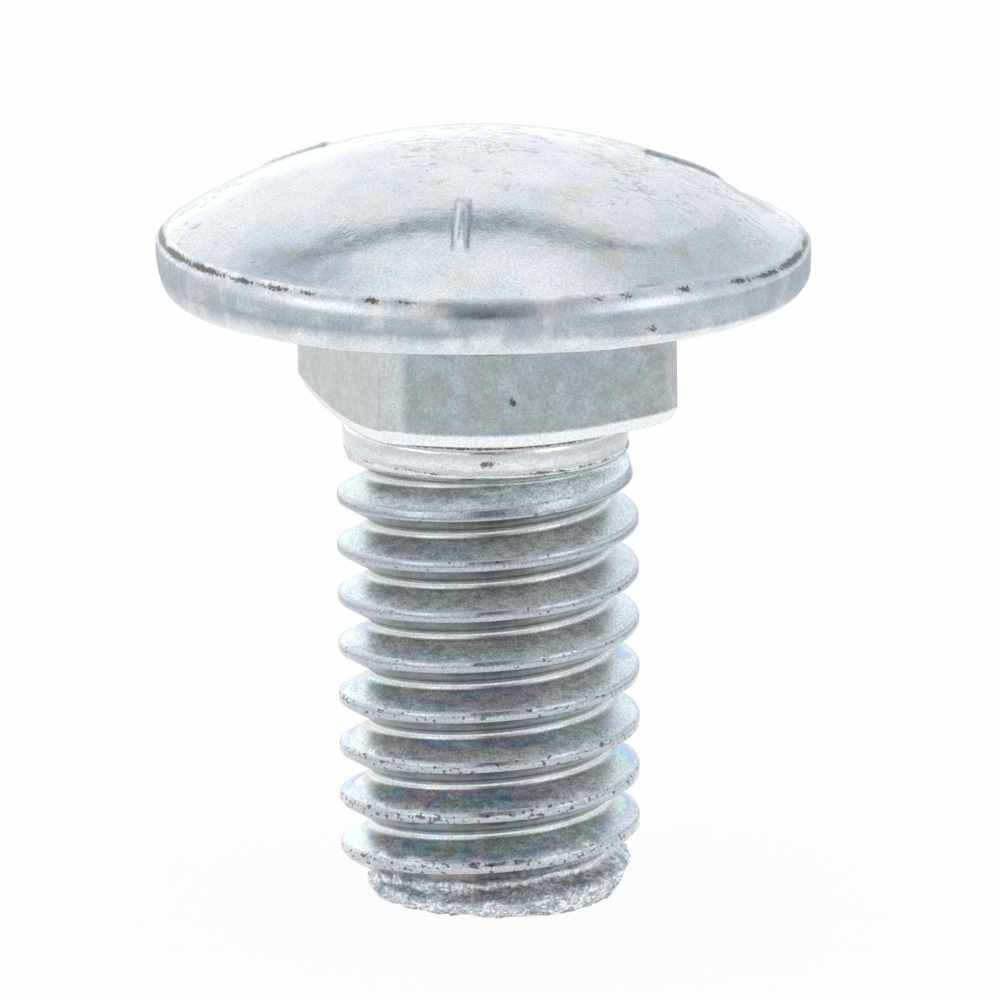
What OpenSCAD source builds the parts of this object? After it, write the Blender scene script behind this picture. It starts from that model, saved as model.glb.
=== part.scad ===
// Round head square neck bolt with a rolled inch thread, forged and rolled in one piece.
// The origin is the centre of the head's flat bearing face. The crown points up and the shank down.

/* [Head] */
// Diameter of the head over its rim
head_d = 20.1; // [18.8:0.1:22]
// Height of the crown above the bearing face
head_h = 4.7; // [4.2:0.1:6]
// Height of the rim's upper edge above the bearing face
rim_h = 1.7; // [1.4:0.05:2.1]
// Slope of the crown just inside the rim, in degrees
crown_slope = 30; // [26:1:40]
// Width of the small round where the crown meets the rim
rim_round_w = 0.4; // [0.2:0.05:0.8]
// Width of the rolled lower edge of the rim
rim_roll_w = 0.5; // [0.2:0.05:1]
// Height of the rolled lower edge of the rim
rim_roll_h = 1.35; // [0.6:0.05:1.35]

/* [Square neck] */
// Width of the neck across its flats
neck_w = 9.55; // [9.2:0.01:9.9]
// Diameter that the neck's corners are trimmed to
neck_corner_d = 12.75; // [12:0.05:13]
// Depth of the neck below the bearing face
neck_h = 4.05; // [3.4:0.05:5.6]
// Angle of the neck about the bolt's axis, in degrees
neck_turn = 18; // [0:1:89]
// Depth of the bevel along the neck's lower edges
neck_bevel_w = 0.26; // [0.1:0.02:0.28]
// Height of the bevel along the neck's lower edges
neck_bevel_h = 0.42; // [0.2:0.02:0.6]
// Height of the slope pinched off under one corner of the neck
neck_swage_h = 0.72; // [0.3:0.02:1.2]
// Size of the fillet between the neck and the bearing face
neck_fillet = 0.4; // [0.1:0.05:0.7]
// Direction of the pinched corner from the middle of the neck's first side, in degrees
neck_pinch_turn = 135; // [45:90:315]

/* [Shank] */
// Length from the bearing face to the end
length = 19.05; // [16:0.05:76]
// Diameter of the plain shoulder under the neck
shoulder_d = 8.75; // [8.3:0.05:8.8]
// Length of the plain shoulder
shoulder_len = 0.95; // [0.4:0.05:4]
// Diameter of the flat end
point_d = 7.8; // [7.3:0.1:8.4]
// Length of the taper at the end
point_len = 1.3; // [0.8:0.1:2.4]

/* [Thread] */
// Distance between crests, sixteen to the inch
pitch = 1.5875; // [1.27:0.0005:1.6]
// Diameter over the crests
thread_d = 9.28; // [9.24:0.01:9.5]
// Included angle of the thread
thread_angle = 60; // [55:1:62]
// Width of the flat on the crests
crest_w = 0.27; // [0.2:0.01:0.3]
// Radius at the bottom of the groove
root_r = 0.14; // [0.1:0.01:0.2]
// Angle at which a crest leaves the shoulder, in degrees
thread_turn = 168; // [0:1:359]
// Length in which the groove reaches its full depth
groove_runout = 0.4; // [0.2:0.05:1.5]
// Length in which the crests reach their full height
crest_runout = 1.5; // [0.6:0.1:2.5]

/* [Smoothness] */
// Steps in one turn of the thread
turn_steps = 60; // [36:12:72]
// Steps along each curve of the head
curve_steps = 20; // [12:1:30]

/* [Hidden] */
zinc = [0.80, 0.82, 0.84];
round_steps = 120;

head_r = head_d / 2;
neck_r = neck_corner_d / 2;
shoulder_r = shoulder_d / 2;
point_r = point_d / 2;
thread_r = thread_d / 2;

// How far each section is carried into the one above it
overlap = 1;
// How far the threaded core stays inside the shoulder
core_inset = 0.04;
// Flat left on the neck's lower face between the shoulder and the pinched slope
neck_foot_w = 0.1;

// Heights of the sections, below the bearing face
neck_end = -neck_h;
shoulder_end = neck_end - shoulder_len;
core_top = neck_end + overlap;
bolt_end = -length;

// Groove of the thread: two flanks that are tangent to a round root
flank = thread_angle / 2;
sharp_depth = (pitch - crest_w) / 2 / tan(flank);
root_axis_r = thread_r - sharp_depth + root_r / sin(flank);
root_sweep = 90 - flank;
root_turns = [-root_sweep, -root_sweep / 3, root_sweep / 3, root_sweep];

// One pitch of the profile, downward from the middle of a crest: distance along the axis, radius
groove = [
    [crest_w / 2, thread_r],
    for (a = root_turns) [pitch / 2 + root_r * sin(a), root_axis_r - root_r * cos(a)],
    [pitch - crest_w / 2, thread_r]
];

// A curve with its two ends and the point where its end tangents meet, without its first point
function bend(from, corner, to) = [
    for (i = [1 : curve_steps])
    let (t = i / curve_steps)
    (1 - t) ^ 2 * from + 2 * t * (1 - t) * corner + t ^ 2 * to
];

// A soft ramp from 0 to 1
function ramp(t) = let (u = min(max(t, 0), 1)) u * u * (3 - 2 * u);

// Half of the head's section, from the axis round the rim to the top of the crown
function head_section() =
    let (
        roll = [for (i = [0 : curve_steps])
            let (a = 90 * i / curve_steps)
            [head_r - rim_roll_w * (1 - sin(a)), rim_roll_h * (1 - cos(a))]],
        side = [head_r, (rim_h + rim_roll_h) / 2],
        edge = [head_r, rim_h],
        inner = [head_r - rim_round_w, rim_h + rim_round_w * tan(crown_slope)],
        crown_bend = [inner.x - (head_h - inner.y) / tan(crown_slope), head_h],
        top = [0, head_h]
    )
    concat([[0, 0]], roll, [side], bend(side, edge, inner), bend(inner, crown_bend, top));

module head() {
    rotate_extrude($fn = round_steps)
        polygon(head_section());
}

// Prism along Y whose section is given in X and Z
module bar(section, size) {
    rotate([90, 0, 0])
        linear_extrude(height = size, center = true)
            polygon(section);
}

// Square shaft with its corners trimmed round and bevelled below
module neck_shaft() {
    foot_r = neck_r - neck_bevel_w * sqrt(2);
    intersection() {
        translate([-neck_w / 2, -neck_w / 2, neck_end])
            cube([neck_w, neck_w, neck_h + overlap]);
        rotate_extrude($fn = round_steps)
            polygon([[0, neck_end], [foot_r, neck_end], [neck_r, neck_end + neck_bevel_h],
                [neck_r, overlap], [0, overlap]]);
    }
}

// Wedge that cuts a slope under the neck, through two points of the section in X and Z
module neck_cut(inner, outer) {
    reach = 3 * (outer - inner);
    low = inner - reach;
    high = outer + reach;
    bar([low, high, [high.x, low.y]], neck_corner_d);
}

// Bevel along the lower edge of one side
module neck_bevel() {
    neck_cut([neck_w / 2 - neck_bevel_w, neck_end], [neck_w / 2, neck_end + neck_bevel_h]);
}

// Longer slope under the pinched corner
module neck_pinch() {
    neck_cut([shoulder_r + neck_foot_w, neck_end], [neck_r, neck_end + neck_swage_h]);
}

// Sloping fillet that joins the four sides and the four corners of the neck to the head
module neck_collar() {
    low = neck_fillet * 2;
    inset = neck_w / 2 - neck_fillet;
    spread = neck_w / 2 + neck_fillet + overlap;
    trapezoid = [[-inset, -low], [inset, -low], [spread, overlap], [-spread, overlap]];
    intersection() {
        bar(trapezoid, head_d);
        rotate([0, 0, 90])
            bar(trapezoid, head_d);
        translate([0, 0, -low])
            cylinder(h = low + overlap, r1 = neck_r - neck_fillet,
                r2 = neck_r + neck_fillet + overlap, $fn = round_steps);
    }
}

module neck() {
    rotate([0, 0, neck_turn]) {
        difference() {
            neck_shaft();
            for (side = [0 : 3])
                rotate([0, 0, side * 90])
                    neck_bevel();
            rotate([0, 0, neck_pinch_turn])
                neck_pinch();
        }
        neck_collar();
    }
}

module shoulder() {
    translate([0, 0, shoulder_end])
        cylinder(h = shoulder_len + overlap, r = shoulder_r, $fn = round_steps);
}

// The threaded core is one skin of helical rows. Each row keeps its place in the thread's profile, and
// rows that would pass the flat top or the flat end stop there.
rows_per_turn = len(groove);
turns_above = ceil((core_top - shoulder_end) / pitch) + 1;
first_crest = shoulder_end + pitch * (turns_above - thread_turn / 360);
row_count = rows_per_turn * (ceil((first_crest - bolt_end) / pitch) + 2);
snap = 0.03;

function row_drop(j) = pitch * floor(j / rows_per_turn) + groove[j % rows_per_turn].x;
function row_z(i, j) = first_crest + pitch * i / turn_steps - row_drop(j);

function last_top_row(i) = len([for (j = [0 : row_count - 1]) if (row_z(i, j) > core_top - snap) j]) - 1;
function first_end_row(i) = len([for (j = [0 : row_count - 1]) if (row_z(i, j) > bolt_end + snap) j]);

top_rows = [for (i = [0 : turn_steps - 1]) last_top_row(i)];
end_rows = [for (i = [0 : turn_steps - 1]) first_end_row(i)];

// Number of a point on the skin. The last column is the first one again, a turn further on.
function point_id(i, j) =
    i == turn_steps
        ? point_id(0, j - rows_per_turn)
        : i * row_count + min(max(j, top_rows[i]), end_rows[i]);

// Radius of the skin: the groove and the crests grow out of the shoulder and the taper trims the end
function skin_r(z, profile_r) =
    let (
        core_r = shoulder_r - core_inset,
        depth = shoulder_end - z,
        grown = profile_r < core_r ? ramp(depth / groove_runout) : ramp(depth / crest_runout) ^ 2,
        taper_r = point_r + (z - bolt_end) * (thread_r - point_r) / point_len
    )
    min(core_r + (profile_r - core_r) * grown, taper_r);

function skin_point(i, j) =
    let (
        free_z = row_z(i, j),
        z = free_z > core_top - snap ? core_top : free_z > bolt_end + snap ? free_z : bolt_end,
        r = skin_r(z, groove[j % rows_per_turn].y),
        a = 360 * i / turn_steps
    )
    [r * cos(a), r * sin(a), z];

module thread() {
    points = [for (i = [0 : turn_steps - 1]) for (j = [0 : row_count - 1]) skin_point(i, j)];
    walls = [
        for (i = [0 : turn_steps - 1])
        for (j = [top_rows[i] : row_count - 1])
        let (
            a = point_id(i, j),
            b = point_id(i + 1, j),
            c = point_id(i + 1, j + 1),
            d = point_id(i, j + 1)
        )
        for (face = [[a, b, c], [a, c, d]])
        if (face[0] != face[1] && face[1] != face[2] && face[2] != face[0]) face
    ];
    top = [for (i = [turn_steps - 1 : -1 : 0]) point_id(i, 0)];
    end = [for (i = [0 : turn_steps - 1]) point_id(i, row_count)];
    polyhedron(points = points, faces = concat(walls, [top, end]), convexity = 12);
}

module carriage_bolt() {
    color(zinc)
        union() {
            head();
            neck();
            shoulder();
            thread();
        }
}

carriage_bolt();
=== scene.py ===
"""The finished look of a zinc plated carriage bolt, standing on its threaded end.

One fine skin stands for the whole bolt. It has the head's grade lines, the worn rim, the ragged shoulder, the
nicked crests and the crumpled end. Its one material is plated metal, and masks on the skin say where the
plating is tinted, stained, scratched or worn, and where shade, highlights and reflections are painted on it.
"""
import math
from types import SimpleNamespace
import bpy
import numpy as np
from mathutils import Matrix, Vector


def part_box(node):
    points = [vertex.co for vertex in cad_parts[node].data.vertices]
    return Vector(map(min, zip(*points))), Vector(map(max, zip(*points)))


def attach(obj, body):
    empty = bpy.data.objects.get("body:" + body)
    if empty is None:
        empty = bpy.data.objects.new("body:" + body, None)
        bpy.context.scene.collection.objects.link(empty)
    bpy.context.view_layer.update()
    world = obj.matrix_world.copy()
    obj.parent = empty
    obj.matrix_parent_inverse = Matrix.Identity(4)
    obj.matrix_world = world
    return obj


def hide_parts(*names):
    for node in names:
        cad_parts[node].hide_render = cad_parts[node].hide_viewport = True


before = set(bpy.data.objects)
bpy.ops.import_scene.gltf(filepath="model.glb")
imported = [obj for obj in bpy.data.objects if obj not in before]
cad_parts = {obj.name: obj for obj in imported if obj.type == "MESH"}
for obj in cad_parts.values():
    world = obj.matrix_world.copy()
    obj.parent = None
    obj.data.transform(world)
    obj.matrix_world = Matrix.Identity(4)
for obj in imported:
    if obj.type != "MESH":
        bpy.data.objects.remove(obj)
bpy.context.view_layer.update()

# Lengths are in millimetres and angles in degrees, unless a name says otherwise. The bolt's axis is Z, its
# bearing face is at zero, and angle 270 faces the camera.
MM = 0.001
node_lo, node_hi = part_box("carriage_bolt")

# Head
HEAD_R = node_hi.x / MM
HEAD_H = node_hi.z / MM
RIM_H = 1.7
RIM_ROUND_W = 0.4
RIM_ROLL_W = 0.5
RIM_ROLL_H = 1.35
CROWN_SLOPE = 30
CROWN_RISE = math.tan(math.radians(CROWN_SLOPE))
RIM_INNER_R = HEAD_R - RIM_ROUND_W
RIM_INNER_H = RIM_H + RIM_ROUND_W * CROWN_RISE
# Place of the crown's top beside the axis
CROWN_SHIFT = -0.24
# Spacing of the rows down the crown
CROWN_STEP = 0.172
# How much further down the rim's corner reaches in front
CORNER_DIP = 0.3
CHIP_DEPTH = 0.035

# Grade lines: raised bars on the crown
LINE_ANGLES = (266.3, 146.3, 18.3)
LINE_INNER_R = 5.36
LINE_OUTER_R = 7.97
LINE_END = 0.25
LINE_W = 0.42
LINE_RISE = 0.11

# Neck. Its edge rises to the corners by this share of their extra distance from the axis.
NECK_W = 9.55
NECK_CORNER_R = 6.375
NECK_CORNER_BLEND = 0.07
NECK_END = -4.05
NECK_TURN = 18
NECK_FILLET = 0.4
BEVEL_W = 0.26
BEVEL_H = 0.42
EDGE_SLOPE = 0.23

# Shank, which stands a little beside the head's axis
SHANK_SHIFT = 0.067
SHOULDER_SHIFT = SHANK_SHIFT - 0.045
SHOULDER_R = 4.375
SHOULDER_END = -5.0
BOLT_END = node_lo.z / MM
POINT_R = 3.9
POINT_LEN = 1.3

# Thread
PITCH = 1.5875
THREAD_R = 4.64
GROOVE_DEPTH = 0.95
CREST_W = 0.27
CREST_ROUND = 0.03
ROOT_R = 0.2
FLANK = 30
THREAD_TURN = 168
GROOVE_RUNOUT = 0.4
CREST_RUNOUT = 1.5
# A row this near the thread's top or the bolt's end stops there
SNAP = 0.02

# Heights above the end at which its crumpling begins and its pale foot begins
CRUMPLE_H = 1.55
FOOT_H = 0.62

# Columns of the skin round the axis, at the rim and along the shank
HEAD_COLUMNS = 576
SHANK_COLUMNS = 288

# Camera, as the photograph was taken
CAMERA_DISTANCE = 500.0
CAMERA_ELEVATION = 13.624
CAMERA_ROLL = -0.473
CAMERA_AIM = Vector((0.3805 + SHANK_SHIFT, 0.0, -6.7702))
CAMERA_LENS = 585.03
CAMERA_SENSOR_W = 36.0
CAMERA_NEAR_M = 0.01
CAMERA_FAR_M = 10.0

# Soft spots: angle and half width in degrees, then the middle and half width of a distance from the axis on
# the crown or of a height elsewhere, and the strength
# Painted shade near the front left of the crown's edge
CROWN_PAINTED_SHADE = (232, 14, 9.1, 0.85, 1.6)
CROWN_DROOP = (24, 30, 9.1, 1.05, 0.36)
SPECKS_RIGHT = (8, 50, 6.3, 3.4, 1.0)
SPECKS_LEFT = (172, 35, 8.5, 2.0, 0.6)
# Painted dark reflection down the rim's front
RIM_DARK_REFLECTION = (270, 6, 1.42, 0.17, 0.9)
# Painted shade stripe on the rim's front right
RIM_SHADE_STRIPE = (296, 8, 1.08, 0.14, 1.0)
RIM_PIT = (300.5, 1.4, 0.6, 0.1, 0.7)
RIM_BULGE = (325, 35, 0.5, 0.45, 0.24)
# Painted pale reflection low on the rim's front right
RIM_PALE_REFLECTION = (316, 13, 0.75, 0.4, 0.45)
# Painted highlights on the rim's upper side at the front left and front right
RIM_GLARES = ((242, 18, 1.47, 0.24, 0.9), (303, 9, 1.47, 0.24, 1.0))
SHOULDER_PATCH = (271, 4.5, -4.6, 0.11, 0.75)
THREAD_RUST = (256, 9, -17.55, 0.4, 1.0)

# Spots on the neck's front side: place along it and half width, height and half height, strength
NECK_BLUES = ((0.9, 1.0, -1.42, 0.2, 0.9), (-0.8, 2.4, -3.52, 0.13, 0.6))
NECK_GOLDS = ((-0.4, 2.2, -3.28, 0.13, 0.6), (3.0, 0.8, -2.6, 0.5, 0.35))
NECK_PITS = ((-0.72, 0.1, -2.55, 0.09, 1.0),)

# Worn stretches of the rim's upper edge: middle, half length, strength
EDGE_WEAR = (
    (184, 10, 1.0), (198, 10, 1.0), (211, 8, 0.9), (222, 4, 0.7), (230, 4, 0.65), (237, 3, 0.6),
    (250, 1.6, 0.85), (256, 3, 0.45), (290, 3, 0.5), (296, 2, 0.5), (308, 1.5, 0.8), (322, 4, 0.7),
    (331, 5, 0.8), (343, 9, 1.0), (355, 6, 0.8),
)

# Stains on the crown: distance from the axis, angle, width, strength
STAINS = (
    (5.1, 305, 0.45, 1.0), (5.3, 297, 0.5, 0.8), (8.6, 314.5, 0.3, 1.0), (7.3, 300, 0.5, 0.7),
    (6.9, 272, 0.35, 0.6), (8.9, 266, 0.5, 0.5), (8.7, 228, 0.25, 0.9), (6.4, 289, 0.3, 0.8),
    (8.3, 297, 0.5, 0.7), (4.6, 250, 0.7, 0.4), (6.3, 232, 0.8, 0.4), (3.0, 120, 0.8, 0.5),
    (6.5, 80, 0.7, 0.6), (7.8, 170, 0.5, 0.5),
)

# Radius and height of the rings from the neck's foot to the ragged edge where the thread begins
SHOULDER_SECTION = (
    (4.41, -4.055), (4.34, -4.085), (4.335, -4.12), (4.40, -4.18), (4.43, -4.26), (4.43, -4.4),
    (4.41, -4.6), (4.38, -4.78), (4.37, -4.88), (4.385, -4.95),
)

# Radius of each ring under the head and over the sheared end, with its columns
UNDERSIDE_RINGS = ((9.3, HEAD_COLUMNS), (9.0, SHANK_COLUMNS), (8.3, SHANK_COLUMNS), (7.6, SHANK_COLUMNS))
END_RINGS = (
    (3.62, SHANK_COLUMNS), (3.4, SHANK_COLUMNS), (3.1, SHANK_COLUMNS), (2.7, SHANK_COLUMNS // 2),
    (2.2, SHANK_COLUMNS // 2), (1.6, SHANK_COLUMNS // 4),
)

# Large odd numbers that scatter the bits of the noise, of which the low 32 are kept
CELL_KEYS = (73856093, 19349663, 83492791)
SEED_KEY = 2654435761
MIX_KEYS = (2246822519, 3266489917)
LOW_BITS = 0xFFFFFFFF


def soft(t):
    """A ramp from 0 to 1 with soft ends."""
    u = np.clip(t, 0.0, 1.0)
    return u * u * (3.0 - 2.0 * u)


def lobe(x, centre, width):
    """A smooth bump of height 1."""
    return np.exp(-((x - centre) / width) ** 2)


def turn_from(angle, centre):
    """Angle from a centre in degrees, between -180 and 180."""
    return (angle - centre + 180.0) % 360.0 - 180.0


def facing(angle, centre, half):
    """A smooth bump of height 1 round one direction."""
    return lobe(turn_from(angle, centre), 0, half)


def mark(angle, level, spot):
    """A soft spot round one direction, at a level that is a height or a distance from the axis."""
    centre, half, middle, spread, strength = spot
    return strength * facing(angle, centre, half) * lobe(level, middle, spread)


def value_noise(p, seed):
    """Smooth random values between -1 and 1 at the points p."""
    cell = np.floor(p).astype(np.int64)
    f = p - cell
    f = f * f * (3.0 - 2.0 * f)
    total = np.zeros(len(p))
    for corner in range(8):
        step = np.array([corner & 1, corner >> 1 & 1, corner >> 2 & 1])
        keyed = (cell + step) * CELL_KEYS
        h = (keyed[:, 0] ^ keyed[:, 1] ^ keyed[:, 2] ^ seed * SEED_KEY) & LOW_BITS
        h = (h ^ h >> 15) * MIX_KEYS[0] & LOW_BITS
        h = (h ^ h >> 13) * MIX_KEYS[1] & LOW_BITS
        weight = np.prod(np.where(step == 1, f, 1.0 - f), axis=1)
        total += weight * ((h ^ h >> 16) & 0xFFFF) / 32767.5
    return total - 1.0


def fractal(p, scale, seed, octaves=3):
    """Layered noise at the points p, with features about 1 / scale millimetres across."""
    total = np.zeros(len(p))
    for octave in range(octaves):
        total += value_noise(p * scale * 2.0 ** octave, seed + octave) * 0.5 ** octave
    return total


# Masks from 0 to 1 that the skin gives to its material. On the head, bar is the shade beside the grade
# lines, and edge a dark line: wear on the rim's edge, pits, a patch, the shoulder's ragged edge, and a
# painted shade line on the shoulder under the neck. Other masks paint light: painted shade on the crown's
# edge and the rim, a painted dark reflection down the rim's front, and in pale, which is otherwise a paler
# colour, painted highlights on the rim, the neck's corners and the back grade lines. On the thread, upper
# and lower are the flanks, rise is the height in the groove, ridge the middle of a crest and brink its lower
# edge, which gets painted shade. There, day is the side that more light reaches, and flare both sides where
# the flanks' texture fades.
MASKS = (
    "crown", "rim", "speck", "stain", "edge", "streak", "bar", "dull", "pale", "neck", "blue", "gold",
    "crest", "ridge", "brink", "nick", "root", "upper", "lower", "rise", "rust", "day", "flare",
    "end", "foot",
)


class Skin:
    """Collects rows of points down the bolt, and the faces between them."""

    def __init__(self):
        self.points = []
        self.faces = []
        self.masks = {name: [] for name in MASKS}
        self.size = 0

    def add(self, points, **masks):
        """Numbers of the added points, which have the given masks and zero in all others."""
        count = len(points)
        self.points.append(points)
        for name in MASKS:
            self.masks[name].append(np.broadcast_to(masks.get(name, 0.0), count))
        ids = np.arange(self.size, self.size + count)
        self.size += count
        return ids

    def face_rows(self, *corners):
        self.faces.extend(np.stack(corners, axis=1).tolist())

    def fan(self, centre, ring):
        """Triangles from a centre point to the ring round it."""
        self.face_rows(np.full(len(ring), centre[0]), ring, np.roll(ring, -1))

    def band(self, upper, lower):
        """Faces between two rings, of which one may have twice the columns of the other."""
        up_next = np.roll(upper, -1)
        low_next = np.roll(lower, -1)
        if len(upper) == len(lower):
            self.face_rows(upper, lower, low_next, up_next)
        elif len(lower) == 2 * len(upper):
            first, middle, last = lower[0::2], lower[1::2], np.roll(lower[0::2], -1)
            self.face_rows(upper, first, middle)
            self.face_rows(upper, middle, last, up_next)
        else:
            first, middle, last = upper[0::2], upper[1::2], np.roll(upper[0::2], -1)
            self.face_rows(first, lower, low_next, middle)
            self.face_rows(middle, low_next, last)

    def build(self, name):
        """A smooth object of all the rows, with each mask as an attribute of its points."""
        mesh = bpy.data.meshes.new(name)
        mesh.from_pydata((np.concatenate(self.points) * MM).tolist(), [], self.faces)
        mesh.polygons.foreach_set("use_smooth", np.ones(len(mesh.polygons), bool))
        for mask, parts in self.masks.items():
            layer = mesh.attributes.new(mask, "FLOAT", "POINT")
            layer.data.foreach_set("value", np.concatenate(parts).astype(np.float32))
        mesh.validate()
        obj = bpy.data.objects.new(name, mesh)
        bpy.context.scene.collection.objects.link(obj)
        return obj


def column_angles(count):
    return np.arange(count) * 360.0 / count


def polar(radius, angle, z):
    """Points at a distance from the axis, an angle and a height."""
    a = np.radians(angle)
    return np.stack([radius * np.cos(a), radius * np.sin(a), np.broadcast_to(z, a.shape)], axis=1)


def squeeze(points, depth, radius):
    """Draws the points in towards the axis by a depth, given for a place at this radius."""
    points[:, :2] *= (1.0 - np.abs(depth) / radius)[:, None]


# Head

def bend(start, corner, end, t):
    """A curve with its two ends and the place where its end tangents meet."""
    return (1 - t) ** 2 * start + 2 * t * (1 - t) * corner + t ** 2 * end


def crown_section():
    """Radius and height along the crown, evenly spaced from near the axis to the rim's rounded corner."""
    t = np.linspace(0, 1, 400)
    radius = bend(0, RIM_INNER_R - (HEAD_H - RIM_INNER_H) / CROWN_RISE, RIM_INNER_R, t)
    height = bend(HEAD_H, HEAD_H, RIM_INNER_H, t)
    travel = np.concatenate([[0], np.cumsum(np.hypot(np.diff(radius), np.diff(height)))])
    count = int(travel[-1] / CROWN_STEP)
    at = np.linspace(0, travel[-1], count + 1)[1:]
    return zip(np.interp(at, travel, radius), np.interp(at, travel, height))


def rim_rows(angle):
    """Radius and height of each row round the rim, from the crown's last point to the flat underside."""
    front = soft((-np.sin(np.radians(angle)) - 0.35) / 0.45)
    side = (RIM_H + RIM_ROLL_H) / 2 - CORNER_DIP * front
    roll = np.minimum(RIM_ROLL_H, side - 0.05)
    for t in np.linspace(0, 1, 11)[1:]:
        yield bend(RIM_INNER_R, HEAD_R, HEAD_R, t), bend(RIM_INNER_H, RIM_H, side, t)
    for turn in np.radians(np.linspace(90, 0, 13)):
        yield HEAD_R - RIM_ROLL_W * (1 - math.sin(turn)), roll * (1 - math.cos(turn))


def grade_lines(radius, angle):
    """Height of the raised bars, from 0 to 1, and the shade along their edges and inner ends."""
    rise = np.zeros(len(angle))
    shade = np.zeros(len(angle))
    along = soft((radius - LINE_INNER_R) / LINE_END) * soft((LINE_OUTER_R - radius) / LINE_END)
    for centre in LINE_ANGLES:
        across = np.abs(np.radians(turn_from(angle, centre))) * radius
        bar = 1.0 - soft((across - LINE_W * 0.2) / (LINE_W * 0.38))
        rise = np.maximum(rise, bar * along)
        shade = np.maximum(shade, lobe(across, LINE_W * 0.54, LINE_W * 0.16) * along)
        inner_end = lobe(radius, LINE_INNER_R + 0.1, LINE_END) * (across < LINE_W * 0.6)
        shade = np.maximum(shade, inner_end)
    return rise, shade


def edge_wear(angle):
    """Strength of the dark line along the rim's upper edge, which is ragged behind."""
    total = np.zeros(len(angle))
    for centre, half, strength in EDGE_WEAR:
        total = np.maximum(total, strength * facing(angle, centre, half))
    rough = fractal(polar(HEAD_R, angle, RIM_H), 1.1, seed=31)
    behind = soft((np.sin(np.radians(angle)) - 0.05) / 0.2)
    return np.clip(np.maximum(total, behind * (0.35 + 0.6 * rough)), 0, 1)


def crown_stains(points):
    """Strength of the faint yellow and brown stains."""
    total = np.zeros(len(points))
    for radius, angle, width, strength in STAINS:
        centre = polar(np.array([radius]), np.array([angle]), 0.0)[0]
        far = np.hypot(points[:, 0] - centre[0], points[:, 1] - centre[1])
        total = np.maximum(total, strength * lobe(far, 0, width))
    return total


def crown_specks(radius, angle):
    """How dense the scratchy grey specks are."""
    middle = 0.65 * lobe(radius, 1.5, 2.4)
    sides = np.maximum(mark(angle, radius, SPECKS_RIGHT), mark(angle, radius, SPECKS_LEFT))
    return 0.24 + 0.76 * np.maximum(sides, middle)


def crown_trim(radius, angle):
    """Height above the turned crown. It is below zero where one side and the front edge droop."""
    edge = 0.10 * facing(angle, 270, 40) + 0.36 * facing(angle, 336, 25)
    return -mark(angle, radius, CROWN_DROOP) - edge * soft((radius - HEAD_R + 1.9) / 1.5)


def crown_columns(radius):
    """Columns at a distance from the axis, so that the faces stay near square."""
    for limit, share in ((0.5, 16), (1.1, 8), (2.3, 4), (4.6, 2)):
        if radius < limit:
            return HEAD_COLUMNS // share
    return HEAD_COLUMNS


def make_crown(skin):
    """Rows from the crown's top out to the rim, and the point numbers of the last one."""
    apex = skin.add(np.array([[CROWN_SHIFT, 0.0, HEAD_H]]), crown=1.0)
    last = None
    for radius, height in crown_section():
        angle = column_angles(crown_columns(radius))
        rise, shade = grade_lines(radius, angle)
        points = polar(np.full(len(angle), radius), angle, 0.0)
        points[:, 0] += CROWN_SHIFT * (1 - (radius / HEAD_R) ** 6)
        dents = 0.012 * fractal(points, 0.45, seed=11, octaves=2)
        dents *= soft(radius / 2) * soft((HEAD_R - radius) / 1.5)
        points[:, 2] = height + rise * LINE_RISE + crown_trim(radius, angle) + dents
        # The back grade lines' walls get a painted highlight in the pale mask
        behind = soft(np.sin(np.radians(angle)) / 0.2)
        # Painted shade near the front left of the crown's edge
        dull = np.minimum(mark(angle, radius, CROWN_PAINTED_SHADE), 1.0)
        row = skin.add(points, crown=1.0, bar=shade, pale=0.7 * rise * behind, dull=dull,
                       speck=crown_specks(radius, angle), stain=crown_stains(points))
        if last is None:
            skin.fan(apex, row)
        else:
            skin.band(last, row)
        last = row
    return last


def rim_masks(angle, height, wear):
    """Masks of one row of the rim."""
    worn_edge = wear * lobe(height, RIM_H + 0.05, 0.085)
    # Painted shade: stripes on the front left and front right, and on the left and right sides
    long_shade_stripe = (np.abs(turn_from(angle, 235)) < 32) * lobe(height, 0.74, 0.14)
    shade_stripe = np.maximum(long_shade_stripe, mark(angle, height, RIM_SHADE_STRIPE))
    sides = np.maximum(facing(angle, 190, 22), 0.6 * facing(angle, 345, 14))
    sides *= soft((1.75 - height) / 0.3) * soft((height - 0.4) / 0.4)
    bright = np.minimum(facing(angle, 238, 5) + facing(angle, 303, 6), 1.0)
    # A faint painted dark line along the rim's top edge, left out at the painted highlights
    faint_line = 0.05 * lobe(height, RIM_H, 0.17) * (1.0 - bright)
    # Painted highlights on the rim at the front left and front right, and a painted pale reflection below
    glare = np.maximum(*(mark(angle, height, spot) for spot in RIM_GLARES))
    return {
        "rim": soft(height / 0.5),
        "edge": np.maximum(worn_edge, mark(angle, height, RIM_PIT)),
        "dull": np.maximum(0.75 * shade_stripe, 0.9 * sides),
        "streak": np.maximum(mark(angle, height, RIM_DARK_REFLECTION), faint_line),
        "pale": np.maximum(glare, mark(angle, height, RIM_PALE_REFLECTION)),
    }


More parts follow.
